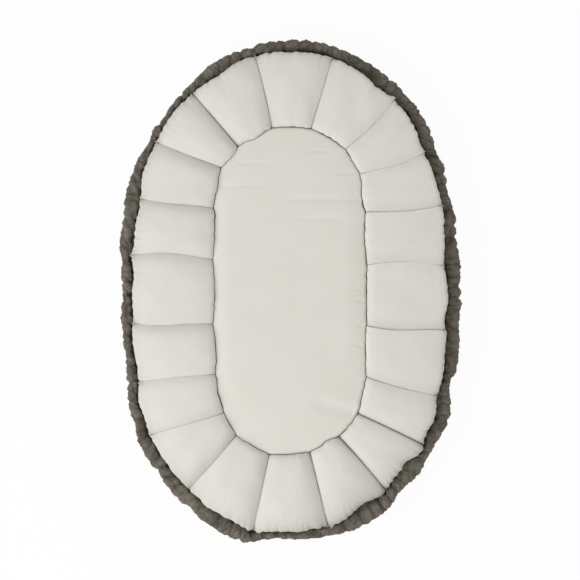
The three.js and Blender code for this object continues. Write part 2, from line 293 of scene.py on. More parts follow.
# Pits at both ends of a seam, and how uneven its groove is
FOOT_PIT, EDGE_PIT, PIT_REACH = 2.4 * MM, 1.8 * MM, 8 * MM
GROOVE_WAVE, GROOVE_DRIFT = 0.35, 0.03
# Pleats and tucks of the gathered edge, how far they move it outwards, and the part that its foot loses
PLEATS, PLEAT_DRIFT, PLEAT_DEPTH, PLEAT_REACH = 225, 1.6, 0.45 * MM, 12 * MM
PLEAT_POWER, PLEAT_LEVEL, PLEAT_FADE = 0.8, 1.2, 1.5
TUCK_DEPTH, TUCK_REACH = 2.4 * MM, 9 * MM
FOLD_OUT, FOLD_HOLD = 0.9, 0.6
SEAM_GAP, SEAM_DEPTH, FOOT_BULGE, EDGE_TUCK = 0.05 * MM, 2 * MM, 1.3 * MM, 5 * MM
# Between the channels' underside and the outer cloth
UNDER_GAP, UNDER_INSET, UNDER_GATHER, UNDER_SLOPE = 4 * MM, 2.5 * MM, 0.7, 8
# Where the outer wall leaves the base, and the shapes of its climb and belly
BASE_SEAM, CLIMB_POWER, BELLY_ACROSS, BELLY_OUTWARD = 0.25, 1.2, 3, 4
SWAY, SWAY_DRIFT = 1.1 * MM, 0.013
ACROSS_LINES, OUTWARD_LINES = 32, 26
FALLS = (1, 0.6, 0.25)
ROUND_CORNER, SEAM_CORNER = np.radians((0, 24, 46, 68, 90)), np.radians((22, 38, 54, 72, 90))


class Span:
    """Lines across a span with a rounded corner and a steep flank at each end. Line i lies at the share
    share[i] of the span plus low[i] and high[i] times the corner at its low and high end. sink is in
    corners too, and fall is 1 at the foot of a flank and 0 on top."""

    def __init__(self, lines, turns):
        none, blank = np.zeros(len(FALLS) + len(turns)), np.zeros(lines)

        def ends(flank, corner, low=blank, high=blank):
            """Values along the whole span of its low end, and of its high end."""
            end = none + [*flank, *corner]
            return np.concatenate([end, low, none]), np.concatenate([none, high, end[::-1]])

        inset, sink = math.cos(turns[0]) - np.cos(turns), 1 - np.sin(turns)
        inner = np.linspace(0, 1, lines + 2)[1:-1]
        self.share = np.concatenate([none, inner, none + 1])
        self.low, from_high = ends([0] * len(FALLS), inset, 1 - inner, inner)
        self.high = -from_high
        self.low_sink, self.high_sink = ends([sink[0]] * len(FALLS), sink)
        self.low_fall, self.high_fall = ends(FALLS, [0] * len(turns))
        self.fall = self.low_fall + self.high_fall
        self.size = len(self.share)
        self.foot_of_corner = self.low_sink + self.high_sink >= sink[0]


across_span, outward_span = Span(ACROSS_LINES, SEAM_CORNER), Span(OUTWARD_LINES, ROUND_CORNER)


def climb(outward):
    rise = np.clip((outward - BASE_SEAM) / (1 - BASE_SEAM), 0, 1) ** CLIMB_POWER
    return (border_level - OUTER_CLOTH) * rise


def rounded(place, square):
    """Height from 0 to 1 of a rounded arch over a place from 0 to 1."""
    return (1 - np.abs(2 * place - 1) ** square) ** (1 / square)


def shell_level(across, outward):
    """Inside of the outer cloth under a channel: it bellies down between the seams."""
    return climb(outward) * (1 - rounded(across, BELLY_ACROSS) * rounded(outward, BELLY_OUTWARD))


def share_at(line, k, across):
    """Share of the foot or edge outline at a place across channel k."""
    low, high = getattr(SEAMS[k - 1], line) - (k == 0), getattr(SEAMS[k], line)
    return low + (high - low) * across


# Where the foot line strays inwards from the outline: middle share, half spread, amount
FOOT_STRAY = millimetres([
    (0.095, 0.012, 3.5), (0.113, 0.008, 2), (0.137, 0.016, 8), (0.165, 0.015, 2), (0.188, 0.015, 3),
    (0.310, 0.020, 2), (0.345, 0.020, 1.5), (0.375, 0.016, 3.5), (0.450, 0.010, 5), (0.530, 0.030, -5),
    (0.565, 0.012, -2.5), (0.600, 0.008, 2.5), (0.615, 0.014, 5), (0.640, 0.014, 6), (0.668, 0.014, 5),
    (0.690, 0.012, 2.5), (0.745, 0.020, 1.5), (0.820, 0.015, 1.5), (0.840, 0.010, 2), (0.872, 0.016, 5),
    (0.918, 0.014, 4.5), (0.955, 0.014, 7),
])
# Where the mattress stands off the wall: middle share, half spread, amount
LOOSE = millimetres([
    (0.000, 0.018, 0.7), (0.050, 0.020, 0.7), (0.148, 0.012, 1), (0.210, 0.060, 0.3),
    (0.330, 0.030, 0.3), (0.435, 0.010, 0.5), (0.620, 0.015, 0.7), (0.690, 0.010, 0.3),
    (0.838, 0.010, 0.9), (0.925, 0.035, -0.5),
])
# How neatly the mattress meets the wall: above 0 with a tighter corner, below 0 with a wider one
NEAT = [
    (0.240, 0.050, -0.6), (0.390, 0.030, -0.5), (0.5625, 0.012, 0.6), (0.765, 0.070, 0.5),
    (0.925, 0.035, 0.75),
]
# How full each channel is stuffed, about 0
FULLNESS = np.random.default_rng(42).uniform(-1, 1, CHANNELS)
# How far each channel bulges over its foot line, and how far the mattress bulges into a seam
PRESS = 0.2 * MM + 1.4 * MM * np.random.default_rng(41).uniform(0, 1, CHANNELS)
PRESS_SQUARE, SEAM_NIP, FOOT_JAG = 2.5, 0.6 * MM, 0.45 * MM
foot_jag = Ripples(46, (40, 130), terms=24)
seam_sway = Ripples(44, (3, 17))
pleat_drift = Ripples(45, (9, 60))
seam_ripple = Ripples(51, (20, 70))
soft_ripple = Ripples(52, (12, 40), (0, 2), 20)
tuck_ripple = Ripples(53, (250, 480), (10, 30), 20)


def press(foot_share):
    """How far the wall pushes the mattress in along its foot outline."""
    total = 0
    for k in range(CHANNELS):
        low, high = share_at("foot", k, 0), share_at("foot", k, 1)
        place = np.clip(np.mod(foot_share - low, 1) / (high - low), 0, 1)
        total = total + (PRESS[k] + SEAM_NIP) * rounded(place, PRESS_SQUARE)
    return total - SEAM_NIP + FOOT_JAG * foot_jag(foot_share)


def channel_plan(k, across, outward):
    """Plan of a place in channel k."""
    share = share_at("foot", k, across)
    start = foot_line.off(share, -press(share) - soft_steps(share, FOOT_STRAY))
    way = edge_place(share_at("edge", k, across)) - start
    side = np.stack([way[..., 1], -way[..., 0]], -1) / np.linalg.norm(way, axis=-1, keepdims=True)
    before, after = (seam_sway((k + n) / CHANNELS + SWAY_DRIFT * outward) for n in (0, 1))
    inside = np.pi * np.clip(outward, 0, 1)
    sway = SWAY * np.sin(inside) * (before + (after - before) * across)
    for seam, near in ((SEAMS[k - 1], 1 - across), (SEAMS[k], across)):
        sway = sway + near * MM * (seam.bow * np.sin(inside) + seam.wave * np.sin(2 * inside))
    return start + way * outward[..., None] + side * sway[..., None]


def channel_length(k):
    """Length of channel k from mattress to border."""
    foot, edge = channel_plan(k, np.full(2, 0.5), np.array([0.0, 1.0]))
    return np.linalg.norm(edge - foot)


def groove_width(seam, outward):
    """Width of a seam's groove in millimetres."""
    return seam.foot_groove + (seam.edge_groove - seam.foot_groove) * np.clip(outward, 0, 1)


def seam_corner(k, outward, ray):
    """Size of the rounding beside seam k, wider at its pits by the mattress and by the border."""
    pit = FOOT_PIT * bell(outward * ray, PIT_REACH)
    pit = pit + EDGE_PIT * bell((1 - outward) * ray, TUCK_REACH)
    uneven = 1 + GROOVE_WAVE * seam_ripple((k + 1) / CHANNELS + GROOVE_DRIFT * outward)
    return groove_width(SEAMS[k], outward) * MM * uneven + pit


def crown_level(k, across, outward, foot_drop, edge_drop):
    """Level of the crown of channel k, without its folds."""
    p, q = 2 * across - 1, 2 * outward - 1
    full = (1 + FULLER * FULLNESS[k]) * MM
    after = SEAMS[k - 1].fall_after * np.abs(p) ** AFTER_POWER
    before = SEAMS[k].fall_before * np.abs(p) ** BEFORE_POWER
    drop = np.where(q < 0, foot_drop * np.abs(q) ** FOOT_POWER, edge_drop * q**2)
    level = WALL_CREST - full * np.where(p < 0, after, before) - drop
    return level + CROWN_WAVE * soft_ripple((k + across) / CHANNELS, outward)


def edge_folds(share, across, outward, width, ray):
    """Height of the pleats of the gathered edge and of the tucks at its seams."""
    from_edge = np.clip(1 - outward, 0, 1) * ray
    waves = np.abs(np.sin(np.pi * (PLEATS * share + PLEAT_DRIFT * pleat_drift(share))))
    pleats = 2 * waves**PLEAT_POWER - PLEAT_LEVEL
    depth = PLEAT_DEPTH + bumps(share, GATHER)
    beside = np.minimum(np.abs(across), np.abs(1 - across)) * width
    tuck = np.exp(-((beside / TUCK_REACH) ** 2) - (from_edge / TUCK_REACH) ** 2)
    fold = depth * pleats * np.exp(-((from_edge / PLEAT_REACH) ** PLEAT_FADE))
    return fold + TUCK_DEPTH * tuck * tuck_ripple(share, outward)


def channel_grid(k):
    """(points, across, outward) of the upper side of the lining of channel k, [across][outward]."""
    a, o = across_span, outward_span
    ray = channel_length(k)
    middle_share = share_at("edge", k, 0.5)
    right = outer_oval.at(middle_share)[0] / (nest_width / 2)
    roll = bumps(middle_share, ROLL)
    foot_drop = FOOT_DROP - SIDE_DROP * right
    edge_drop = EDGE_DROP - SIDE_DROP * right + ROLL_DROP * roll
    foot_corner = FOOT_CORNER * (1 - NEAT_CORNER * soft_steps(share_at("foot", k, 0.5), NEAT))
    edge_corner = EDGE_CORNER + ROLL_CORNER * roll
    lean = FOOT_BULGE * (1 - o.low_fall) * (o.low_sink > 0) + EDGE_TUCK * o.high_fall**2
    outward = o.share + (o.low * foot_corner + o.high * edge_corner - lean) / ray
    low, high = (channel_plan(k, np.full(o.size, end), outward) for end in (0.0, 1.0))
    width = np.linalg.norm(high - low, axis=-1)
    low_corner, high_corner = seam_corner(k - 1, outward, ray), seam_corner(k, outward, ray)
    low, high = a.low[:, None] * low_corner, a.high[:, None] * high_corner
    apart = SEAM_GAP * (1 - 2 * a.share[:, None])
    across = a.share[:, None] + (low + high + apart) / width
    outward = np.tile(outward, (a.size, 1))
    share = share_at("edge", k, across)
    fold = edge_folds(share, across, outward, width, ray) * (1 - a.fall[:, None])
    out = FOLD_OUT * fold * (1 - FOLD_HOLD * o.fall)
    plan = channel_plan(k, across, outward) + outer_oval.out(share) * out[..., None]
    top = crown_level(k, across, outward, foot_drop, edge_drop) + fold * (1 - o.fall)
    sink = a.low_sink[:, None] * low_corner + a.high_sink[:, None] * high_corner
    sink = sink + o.low_sink * foot_corner + o.high_sink * edge_corner
    seam = climb(outward) + SEAM_DEPTH
    level = seam + (top - sink - seam) * (1 - a.fall[:, None]) * (1 - o.fall)
    return at_level(plan, level), across, outward


def eased(count, gather):
    """Shares from 0 to 1, closer together at both ends the more gather is near 1."""
    even = np.linspace(-1, 1, count)
    return (1 + (1 - gather) * even + gather * np.sin(even * np.pi / 2)) / 2


def underside(k, columns, rows):
    """Underside of channel k inside the outer cloth, [across][outward], joined to its top all round."""
    ray = channel_length(k)
    shares = eased(columns, UNDER_GATHER), eased(rows, UNDER_GATHER)
    across, outward = np.meshgrid(*shares, indexing="ij")
    plan = channel_plan(k, across, outward * (1 - EDGE_TUCK / ray))
    width = np.linalg.norm(plan[-1] - plan[0], axis=-1)
    belly = np.clip(0.5 + (across - 0.5) * (1 + 2 * UNDER_INSET / width), 0, 1)
    near = np.clip(np.minimum(np.minimum(across, 1 - across), 1 - outward) * UNDER_SLOPE, 0, 1)
    level = shell_level(belly, np.clip(outward + UNDER_INSET / ray, 0, 1))
    return at_level(plan, level + SEAM_DEPTH + (UNDER_GAP - SEAM_DEPTH) * near)


def at_level(plan, level):
    """Places in space from their plan and their level."""
    return np.concatenate([plan, level[..., None]], -1)


def grid_faces(columns, rows, offset=0, closed=False, flip=False):
    """Quads between the places of a grid, [column][row]."""
    i, j = np.meshgrid(np.arange(columns if closed else columns - 1), np.arange(rows - 1), indexing="ij")
    a, b = i * rows + j, (i + 1) % columns * rows + j
    faces = offset + np.stack([a, b, b + 1, a + 1], -1).reshape(-1, 4)
    return (faces[:, ::-1] if flip else faces).tolist()


def band_faces(upper, lower):
    """Quads between two closed rows of places."""
    return np.stack([upper, lower, np.roll(lower, -1), np.roll(upper, -1)], -1).tolist()


def put(name, data, place=(0, 0, 0)):
    """A new object in the scene."""
    obj = bpy.data.objects.new(name, data)
    obj.location = place
    bpy.context.scene.collection.objects.link(obj)
    return obj


# Steps in which the cloth's slack varies, and frames that it settles for
SLACK_STEPS, FRAMES = 10, 20


def settle(points, faces, held, slack, reach):
    """Cloth swollen by a light pressure from beneath and held at its seams. slack is from 0 to 1, where
    the cloth has most length to spare, and reach is how far a place may move."""
    mesh = bpy.data.meshes.new("settling")
    mesh.from_pydata(points.tolist(), [], faces)
    piece = put("settling", mesh)
    pins = piece.vertex_groups.new(name="pins")
    pins.add(np.flatnonzero(held).tolist(), 1.0, "REPLACE")
    tight = piece.vertex_groups.new(name="tight")
    for step in range(SLACK_STEPS + 1):
        chosen = np.flatnonzero(np.round(slack * SLACK_STEPS) == step)
        tight.add(chosen.tolist(), 1 - step / SLACK_STEPS, "REPLACE")
    modifier = piece.modifiers.new("cloth", "CLOTH")
    cloth = modifier.settings
    cloth.quality = 5
    cloth.mass = 0.3
    cloth.tension_stiffness = cloth.compression_stiffness = 20
    cloth.shear_stiffness = 5
    cloth.bending_stiffness = 0.02
    cloth.use_pressure = True
    cloth.uniform_pressure_force = 4
    cloth.effector_weights.gravity = 0
    cloth.vertex_group_mass = "pins"
    cloth.vertex_group_shrink = "tight"
    cloth.shrink_min = -0.06
    cloth.shrink_max = -0.005
    modifier.collision_settings.use_collision = False
    modifier.point_cache.frame_start = 1
    modifier.point_cache.frame_end = FRAMES
    for frame_number in range(1, FRAMES + 1):
        bpy.context.scene.frame_set(frame_number)
    seen = piece.evaluated_get(bpy.context.evaluated_depsgraph_get())
    moved = np.zeros(len(points) * 3)
    seen.data.vertices.foreach_get("co", moved)
    moved = moved.reshape(-1, 3) - points
    bpy.context.scene.frame_set(1)
    bpy.data.objects.remove(piece)
    bpy.data.meshes.remove(mesh)
    length = np.linalg.norm(moved, axis=1, keepdims=True)
    return points + moved * reach / np.maximum(reach, length)


def new_piece(name, points, faces, material, body, uv):
    mesh = bpy.data.meshes.new(name)
    mesh.from_pydata(points.reshape(-1, 3).tolist(), [], faces)
    mesh.materials.append(material)
    layer = mesh.uv_layers.new(name="cloth")
    corners = np.zeros(len(mesh.loops), int)
    mesh.loops.foreach_get("vertex_index", corners)
    layer.data.foreach_set("uv", uv.reshape(-1, 2)[corners].ravel())
    mesh.validate()
    mesh.shade_smooth()
    piece = put(name, mesh)
    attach(piece, body)
    return piece


def paint_shade(piece, values):
    """Store the shade painted at each place, which darkens the cloth's colour."""
    layer = piece.data.attributes.new("painted_shade", "FLOAT", "POINT")
    layer.data.foreach_set("value", np.asarray(values, float).ravel())


def subdivide(piece):
    modifier = piece.modifiers.new("finer", "SUBSURF")
    modifier.levels = modifier.render_levels = 1


# Materials


def linear(value):
    """Colour from three sRGB levels of 255."""
    return tuple(
        (c / 12.92 if c <= 0.04045 else ((c + 0.055) / 1.055) ** 2.4) for c in (v / 255 for v in value)
    )


class Nodes:
    """The nodes of a material or of the sky."""

    def __init__(self, block):
        block.use_nodes = True
        self.tree = block.node_tree

    def feed(self, socket, value):
        """Give a socket a value, or link it where the value is another node's output."""
        if hasattr(value, "links"):
            self.tree.links.new(value, socket)
        else:
            socket.default_value = value

    def add(self, kind, **inputs):
        node = self.tree.nodes.new(kind)
        for key, value in inputs.items():
            self.feed(node.inputs[key.replace("_", " ")], value)
        return node

    def math(self, operation, *values):
        node = self.tree.nodes.new("ShaderNodeMath")
        node.operation = operation
        for socket, value in zip(node.inputs, values):
            self.feed(socket, value)
        return node.outputs[0]

    def plus(self, base, value, part):
        """A base value with a part of another value added."""
        return self.math("ADD", base, self.math("MULTIPLY", value, part))


# How far uneven yarn shifts the threads, and the height of its slubs beside theirs
YARN_DRIFT, SLUB_HEIGHT = 6.0, 4
# Parts of blotches and slubs in the tone, and where that is darkest and lightest
BLOTCH_PART, SLUB_PART, TONE_STOPS = 0.7, 0.3, (0.3, 0.7)
ROUGHNESS = (0.82, 0.95)
# Sockets of a colour mix
MIX_FACTOR, MIX_COLOUR, MIX_SHADE, MIX_RESULT = 0, 6, 7, 2


def cloth_material(name, light, dark, thread, weave_height, blotch=18.0, sheen=0.1, slub=0.3, shade=None):
    """Plain-woven cloth: threads, uneven yarn, soft blotches of tone. thread is the pitch in metres, and
    shade is the colour of the painted shade, which multiplies the cloth's where the mesh asks for it."""
    material = bpy.data.materials.new(name)
    nodes = Nodes(material)
    shader = nodes.tree.nodes["Principled BSDF"].inputs
    place = nodes.add("ShaderNodeTexCoord").outputs["UV"]
    split = nodes.add("ShaderNodeSeparateXYZ", Vector=place)
    body = nodes.add("ShaderNodeTexCoord").outputs["Object"]
    uneven = nodes.add("ShaderNodeTexNoise", Vector=place, Scale=60.0, Detail=3.0)
    threads = []
    for axis in "XY":
        phase = nodes.math("MULTIPLY", split.outputs[axis], math.pi / thread)
        phase = nodes.plus(phase, uneven.outputs["Fac"], YARN_DRIFT)
        threads.append(nodes.math("ABSOLUTE", nodes.math("SINE", phase)))
    weave = nodes.math("ADD", *threads)
    slubs = nodes.add("ShaderNodeTexNoise", Vector=place, Scale=1 / (6 * thread), Detail=2.0)
    height = nodes.plus(weave, slubs.outputs["Fac"], slub * SLUB_HEIGHT)
    bump = nodes.add("ShaderNodeBump", Strength=1.0, Distance=weave_height, Height=height)
    nodes.feed(shader["Normal"], bump.outputs["Normal"])

    blotches = nodes.add("ShaderNodeTexNoise", Vector=body, Scale=blotch, Detail=4.0, Roughness=0.6)
    tone = nodes.math("MULTIPLY", blotches.outputs["Fac"], BLOTCH_PART)
    tone = nodes.plus(tone, slubs.outputs["Fac"], SLUB_PART)
    ramp = nodes.add("ShaderNodeValToRGB", Fac=tone)
    for stop, position, colour in zip(ramp.color_ramp.elements, TONE_STOPS, (dark, light)):
        stop.position = position
        stop.color = (*linear(colour), 1)
    colour = ramp.outputs["Color"]
    # Painted shade: the colour is multiplied towards shade as far as the mesh's stored attribute says
    if shade:
        painted_shade = nodes.add("ShaderNodeAttribute")
        painted_shade.attribute_name = "painted_shade"
        darker = nodes.add("ShaderNodeMix")
        darker.data_type = "RGBA"
        darker.blend_type = "MULTIPLY"
        darker.clamp_factor = True
        nodes.feed(darker.inputs[MIX_FACTOR], painted_shade.outputs["Fac"])
        nodes.feed(darker.inputs[MIX_COLOUR], colour)
        nodes.feed(darker.inputs[MIX_SHADE], (*shade, 1))
        colour = darker.outputs[MIX_RESULT]
    nodes.feed(shader["Base Color"], colour)
    rough = nodes.math("MULTIPLY", blotches.outputs["Fac"], ROUGHNESS[1] - ROUGHNESS[0])
    nodes.feed(shader["Roughness"], nodes.math("ADD", rough, ROUGHNESS[0]))
    shader["Sheen Weight"].default_value = sheen
    shader["Sheen Roughness"].default_value = 0.5
    shader["Specular IOR Level"].default_value = 0.25
    return material


# shade is the colour of the painted shade in each cloth's creases, seams, edges and gaps
lining_cotton = cloth_material(
    "lining cotton", (225, 224, 219), (220, 218, 211), 0.55 * MM, 0.03 * MM, shade=(0.5, 0.485, 0.45)
)
cover_cotton = cloth_material("cover cotton", (226, 225, 218), (222, 221, 213), 0.55 * MM, 0.03 * MM)
outer_cotton = cloth_material(
    "outer cotton", (134, 127, 115), (95, 90, 81), 0.9 * MM, 0.12 * MM,
    blotch=70.0, sheen=0.15, slub=0.6, shade=(0.55, 0.54, 0.52),
)
elastic_tape = cloth_material("elastic tape", (230, 228, 222), (214, 211, 204), 0.8 * MM, 0.1 * MM)

# Channels

# Where the cloth has most length to spare: beside the seams and the outer edge, by places in a channel of
# about this width and length
USUAL_WIDTH, USUAL_LENGTH = 100 * MM, 130 * MM
SLACK_REACH = 14 * MM
UNEVEN = 0.15 * MM
SWELL_REACH = 4 * MM
# Painted shades from 0 to 1, and how far they reach: beside a seam, at its outer end, along its groove
# (for each millimetre of its width), along the outer edge, and on the underside
SEAM_SHADE_REACH = 15 * MM
END_SHADE, END_ASIDE, END_INWARD = 0.35, 6 * MM, 9 * MM
GROOVE_SHADE, GROOVE_NEAR, GROOVE_WIDER = 0.09, 0.5 * MM, 0.55 * MM
EDGE_SHADE_LEVEL, EDGE_SHADE_REACH = 0.4, 6 * MM
EDGE_SHADE_WIDER = millimetres([(0, 16, 6), (155, 36, 12)])
UNDER_SHADE = 0.4


def line_lengths(grid, axis):
    """How far along its line each place of a grid lies."""
    steps = np.linalg.norm(np.diff(grid, axis=axis), axis=2)
    return np.insert(np.cumsum(steps, axis), 0, 0, axis)


def cloth_uv(grid):
    """Flat lie of a grid of cloth in metres, from the lengths of its lines."""
    u, v = line_lengths(grid, 0), line_lengths(grid, 1)
    return np.stack([u - u[len(u) // 2], v], -1)


def settled_tops():
    """Upper sides of all channels, swollen together."""
    grids = [channel_grid(k) for k in range(CHANNELS)]
    size = across_span.size * outward_span.size
    points = np.vstack([grid[0].reshape(-1, 3) for grid in grids])
    faces = []
    for k in range(CHANNELS):
        faces += grid_faces(across_span.size, outward_span.size, offset=k * size)
    flank = (across_span.fall > 0)[:, None] | (outward_span.fall > 0)
    top_edge = across_span.foot_of_corner[:, None] | outward_span.foot_of_corner
    held = np.tile((flank | top_edge).ravel(), CHANNELS)
    slack = []
    for _, across, outward in grids:
        near = np.minimum(np.minimum(across, 1 - across) * USUAL_WIDTH, (1 - outward) * USUAL_LENGTH)
        slack.append(bell(near, SLACK_REACH).ravel())
    points = points + UNEVEN * np.random.default_rng(43).normal(size=points.shape) * ~held[:, None]
    moved = settle(points, faces, held, np.concatenate(slack), SWELL_REACH)
    return moved.reshape(CHANNELS, across_span.size, outward_span.size, 3)


def edge_shade(share, from_edge):
    """How much shade is painted on the lining at a distance in from its outer edge, from 0 to 1."""
    reach = EDGE_SHADE_REACH + bumps(share, EDGE_SHADE_WIDER)
    amount = np.clip(EDGE_SHADE_LEVEL + bumps(share, EDGE_SHADE), 0, 1)
    return amount * np.exp(-np.clip(from_edge, 0, None) / reach)


def top_shade(k):
    """How much shade is painted on the upper side of channel k at each place, [across][outward]."""
    plan, across, outward = channel_grid(k)
    width = np.linalg.norm(plan[-1] - plan[0], axis=-1)
    from_edge = (1 - outward) * channel_length(k)
    shade = edge_shade(share_at("edge", k, across), from_edge)
    before, after = SEAMS[k - 1], SEAMS[k]
    for seam, dark, away in ((before, before.dark_after, across), (after, after.dark_before, 1 - across)):
        aside = away * width
        groove = groove_width(seam, outward)
        shade = shade + dark * bell(aside, SEAM_SHADE_REACH)
        shade = shade + END_SHADE * np.exp(-((aside / END_ASIDE) ** 2) - (from_edge / END_INWARD) ** 2)
        shade = shade + GROOVE_SHADE * groove * bell(aside, GROOVE_NEAR + GROOVE_WIDER * groove)
    return shade


for k, top in enumerate(settled_tops()):
    rim = np.zeros(top.shape[:2], bool)
    rim[[0, -1]] = rim[:, [0, -1]] = True
    bottom = underside(k, *rim.shape)
    index = np.arange(rim.size).reshape(rim.shape)
    lower = index.copy()
    lower[~rim] = rim.size + np.arange((~rim).sum())
    points = np.vstack([top.reshape(-1, 3), bottom[~rim]])
    faces = grid_faces(*rim.shape)
    faces += lower.ravel()[np.array(grid_faces(*rim.shape, flip=True))].tolist()
    uv = cloth_uv(top).reshape(-1, 2)
    uv = np.vstack([uv, uv[~rim.ravel()]])
    number = f"{k + 1:02d}"
    piece = new_piece(f"channel_{number}", points, faces, lining_cotton, "nest", uv)
    # Painted shade on each channel: beside and along its seams, at their outer ends, along its edge and
    # underneath
    paint_shade(piece, np.concatenate([top_shade(k).ravel(), np.full((~rim).sum(), UNDER_SHADE)]))
    subdivide(piece)
    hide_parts(f"lining_panel_{number}", f"stuffing_{number}")

# Outer wall and base

WALL_COLUMNS, WALL_ROWS, LIP_ROWS = 24, 20, 4
WALL_GATHER = 0.8
# Height from which the pleats grow, as a share of the wall's rows
PLEATS_FROM, PLEATS_POWER = 0.3, 1.5
# How far the wall stands out in a hollow and in each pleat, up to the share of its rise where it is widest
PUFF, PLEAT_PUFF, MOST_PLEAT = 1.8 * MM, 2.4 * MM, 1.5
WIDEST = 0.8
# How far a pleat sinks, and how much shade is painted in its hollows
PLEAT_SINK, PLEAT_SHADE = 1.2 * MM, 0.7
WALL_CLEARANCE, LOWEST = 0.2 * MM, 0.1 * MM
# The lip that goes in under the border, and the shadow painted on it in the gap beside the lining
LIP_DROP, LIP_SAG, LIP_SHADE = 4 * MM, 3 * MM, 1.7
pleat_ripple = Ripples(21, (110, 190), (0, 0.4), 16)


def wall_column(k, across, rows, fade):
    """(points, painted shades) of one column of the outer wall, from the base into the border."""
    share = np.full(len(rows), share_at("edge", k, across))
    pleat = np.abs(pleat_ripple(share, rows))
    level = shell_level(across, rows) + WALL_CLEARANCE
    rise = np.clip(level / climb(1.0), 0, 1)
    belly = np.sin(np.pi * np.clip(rise, 0, WIDEST) / (2 * WIDEST))
    out = (PUFF + PLEAT_PUFF * np.clip(pleat, 0, MOST_PLEAT)) * belly
    place = rows + (out * fade - EDGE_TUCK * rise**4) / channel_length(k)
    level = np.maximum(level - PLEAT_SINK * pleat * fade * (1 - rise), LOWEST)
    column = at_level(channel_plan(k, np.full(len(rows), across), place), level)
    share = share[:1]
    middle = outer_oval.off(share, outer_edge(share) - band_width(share) / 2)
    end = np.array([*middle[0], border_level - LIP_DROP])
    steps = np.linspace(0, 1, LIP_ROWS + 1)[1:, None]
    lip = column[-1] + (end - column[-1]) * steps
    lip[:, 2] -= LIP_SAG * np.sin(np.pi * steps[:, 0])
    painted_shades = np.clip(PLEAT_SHADE - pleat, 0, PLEAT_SHADE) * fade
    return np.vstack([column, lip]), np.concatenate([painted_shades, np.full(LIP_ROWS, LIP_SHADE)])


def outer_wall_points():
    """Outside of the outer wall: up round its belly, in to the seam under the lining's edge, and out
    into the border. With it, the shade painted at each place: in its pleats, and as a shadow on its lip."""
    rows = BASE_SEAM + (1 - BASE_SEAM) * eased(WALL_ROWS, WALL_GATHER)
    fade = np.clip((rows - PLEATS_FROM) / (1 - PLEATS_FROM), 0, 1) ** PLEATS_POWER
    places = [(k, across) for k in range(CHANNELS) for across in eased(WALL_COLUMNS, WALL_GATHER)[:-1]]
    points, painted_shades = zip(*[wall_column(k, across, rows, fade) for k, across in places])
    return np.array(points), np.array(painted_shades)


wall, wall_painted_shade = outer_wall_points()
outer_wall = new_piece(
    "outer_shell",
    wall,
    grid_faces(len(wall), wall.shape[1], closed=True, flip=True),
    outer_cotton,
    "nest",
    cloth_uv(wall),
)
# Painted shade in the pleats' hollows and a painted shadow on the lip under the border
paint_shade(outer_wall, wall_painted_shade)
subdivide(outer_wall)
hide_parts("outer_wall")


BASE_RINGS = (1, 0.985, 0.95, 0.87, 0.74, 0.58, 0.4, 0.2)
BASE_LEVEL, BASE_MIDDLE = 0.3 * MM, 0.6 * MM
BASE_SAG, BASE_SPAN = 0.35 * MM, 0.9
base_edge = wall[:, 0, :2]
base_rings = np.stack([base_edge * size for size in BASE_RINGS], 1)
base_ripple = Ripples(22, (2, 9), (1, 5), 16)
base_sag = BASE_SAG * (1 + base_ripple(*np.moveaxis(base_rings, -1, 0) / BASE_SPAN)).clip(0, 2)
base_points = at_level(base_rings, BASE_LEVEL + base_sag).reshape(-1, 3)
base_points = np.vstack([base_points, [(0, 0, BASE_MIDDLE)]])
base_faces = grid_faces(len(base_edge), len(BASE_RINGS), closed=True)
inmost = np.arange(1, len(base_edge) + 1) * len(BASE_RINGS) - 1
middle = np.full(len(inmost), len(base_points) - 1)
base_faces += np.stack([middle, np.roll(inmost, -1), inmost], -1).tolist()
base_sheet = new_piece("base_sheet", base_points, base_faces, outer_cotton, "nest", base_points[:, :2])
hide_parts("base_panel")

# Border

SECTIONS, ROUND = 2000, 24
CASING_CLOTH = 1.4 * MM
CASING_HEIGHT, HEIGHT_SWAY = 13 * MM, 0.8 * MM
CASING_TILT, CASING_LIFT = 0.3, 1.2 * MM
# How the weave lies on the casing: metres of it for each metre of the oval, and metres of it round
CLOTH_ALONG, CLOTH_ROUND = 1.6, 0.06
# How far the gathers may draw the cloth in, so that the tunnel stays open
SWELL_LIMIT = 3.2 * MM
casing_twist, casing_sway = Ripples(35, (10, 26)), Ripples(36, (12, 50))
gather_pitch = Ripples(37, (4, 15))
gather_strength = Ripples(33, (15, 50), (0, 1), whole=True)

# Beads of the gathered cloth: how many round the nest, drift, height and shade painted in their creases
BEADS, BEAD_DRIFT, BEAD_HEIGHT, BEAD_SHADE = 72, 1.1, 3.4 * MM, 0.8
SLANT, SLANT_TURNS, BEAD_SLANT = 0.35, 3, 0.25
# Puffs of the gathered cloth: seed, waves round the nest, waves across, height, painted shade in creases
PUFFS = [
    (31, (25, 90), (1, 2), 3.0 * MM, 0.6),
    (32, (80, 180), (1, 3), 1.2 * MM, 0.5),
    (34, (180, 360), (1, 4), 0.3 * MM, 0.3),
]
# Level of a puff's wave below which shade is painted in its crease
PUFF_SHADE_LEVEL = 0.3
# Ridges across the cloth: how many round the nest, height, drift
RIDGES = [(115, 0.5 * MM, 0.75), (210, 0.2 * MM, 0.9)]
# How much shade is painted in the ridges' creases
RIDGE_SHADE = 0.35
# The power that rounds each wave, and its mean, so that it swells the cloth as much as it draws it in
BEAD_WAVE, PUFF_WAVE, RIDGE_WAVE = (0.5, 0.79), (0.7, 0.62), (0.65, 0.72)
# How strong beads and ridges are, and how much that varies
BEAD_FORCE, RIDGE_FORCE = (0.8, 0.5), (0.75, 0.45)


def arched(wave, power, mean):
    return wave**power - mean


def force_at(share, turn, usual, varied):
    return np.clip(usual + varied * gather_strength(share, turn), 0, 2)


